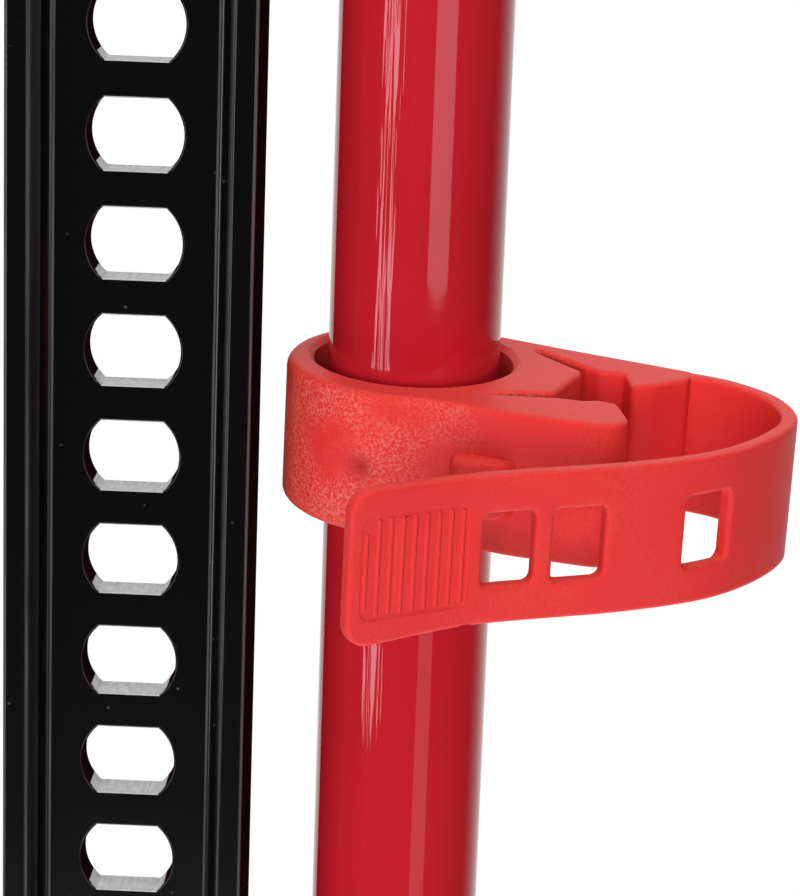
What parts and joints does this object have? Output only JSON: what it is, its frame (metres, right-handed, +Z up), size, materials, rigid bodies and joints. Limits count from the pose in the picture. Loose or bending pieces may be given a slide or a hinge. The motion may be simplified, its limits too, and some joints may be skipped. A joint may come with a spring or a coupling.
{
  "type": "high-lift jack",
  "caption": "Rack-type high-lift jack: holed I-section bar on a foot, climbing carriage with lifting nose, lever handle stowed upright and a moulded strap keeper on the handle.",
  "frame": {"origin": "centre of the foot's underside, on the bar's axis", "axes": "+Z up along the bar; +X towards the handle, -X towards the lifting nose; Y along the bar's holes, with the reversing latch on the -Y side"},
  "size_m": [0.2418, 0.1454, 1.2283],
  "materials": {
    "bar_black": "gloss black enamel on drawn steel",
    "casting_red": "semi-gloss red enamel over cast iron skin",
    "tube_red": "gloss red powder coat on drawn tube",
    "link_black": "black enamel on pressed steel plate",
    "keeper_rubber": "matt moulded polyurethane elastomer",
    "zinc": "zinc plated steel",
    "spring_steel": "oiled spring wire"
  },
  "bodies": {
    "stand": {"rack_bar": "bar_black", "base_plate": "casting_red", "base_pin": "zinc", "base_cotter": "zinc"},
    "clamp": {"top_clamp": "casting_red", "clamp_bolt": "zinc", "clamp_nut": "zinc"},
    "carriage": {"large_runner": "casting_red", "latch_pin": "zinc", "latch_spring": "spring_steel", "pin_spring_upper": "spring_steel", "pivot_bolt": "zinc", "pivot_nut": "zinc"},
    "upper_pin": {"climbing_pin_upper": "zinc", "cross_pin_upper": "zinc"},
    "latch": {"reversing_latch": "zinc"},
    "follower": {"small_runner": "casting_red", "pin_spring_lower": "spring_steel", "pitman_pin_lower": "zinc", "pitman_cotter": "zinc"},
    "lower_pin": {"climbing_pin_lower": "zinc", "cross_pin_lower": "zinc"},
    "lever": {"handle_socket": "casting_red", "handle_tube": "tube_red", "handle_bolt_lower": "zinc", "handle_bolt_upper": "zinc", "handle_nut_lower": "zinc", "handle_nut_upper": "zinc", "pitman_pin_upper": "zinc"},
    "pitman": {"pitman_front": "link_black", "pitman_rear": "link_black"},
    "keeper": {"handle_keeper": "keeper_rubber"}
  },
  "joints": [
    {"name": "clamp_slide", "type": "slide", "parent": "stand", "child": "clamp", "axis": [0, 0, 1], "range_m": [-0.17, 0]},
    {"name": "carriage_slide", "type": "slide", "parent": "stand", "child": "carriage", "axis": [0, 0, 1], "range_m": [0, 0.84]},
    {"name": "handle_pivot", "type": "hinge", "parent": "carriage", "child": "lever", "pos_m": [0.03962, 0, 0.1774], "axis": [0, 1, 0], "range_deg": [0, 90]},
    {"name": "small_runner_slide", "type": "slide", "parent": "carriage", "child": "follower", "axis": [0, 0, -1], "range_m": [0, 0.0204]},
    {"name": "pitman_swing", "type": "hinge", "parent": "lever", "child": "pitman", "pos_m": [0.05102, 0, 0.1863], "axis": [0, -1, 0], "range_deg": [0, 90]},
    {"name": "upper_pin_slide", "type": "slide", "parent": "carriage", "child": "upper_pin", "axis": [0, -1, 0], "range_m": [0, 0.0125], "stiffness_N_per_m": 600, "springref_m": -0.006, "deforming": ["pin_spring_upper"]},
    {"name": "lower_pin_slide", "type": "slide", "parent": "follower", "child": "lower_pin", "axis": [0, 1, 0], "range_m": [0, 0.0125], "stiffness_N_per_m": 600, "springref_m": 0.0185, "deforming": ["pin_spring_lower"]},
    {"name": "latch_hinge", "type": "hinge", "parent": "carriage", "child": "latch", "pos_m": [0, -0.0264, 0.1533], "axis": [0, -1, 0], "range_deg": [0, 50]},
    {"name": "keeper_slide", "type": "slide", "parent": "lever", "child": "keeper", "axis": [0, 0, 1], "range_m": [-0.38, 0.2]}
  ],
  "couplings": [
    {"joint": "small_runner_slide", "follows": "handle_pivot", "m_per_rad": 0.012923},
    {"joint": "pitman_swing", "follows": "handle_pivot", "ratio": 1}
  ]
}
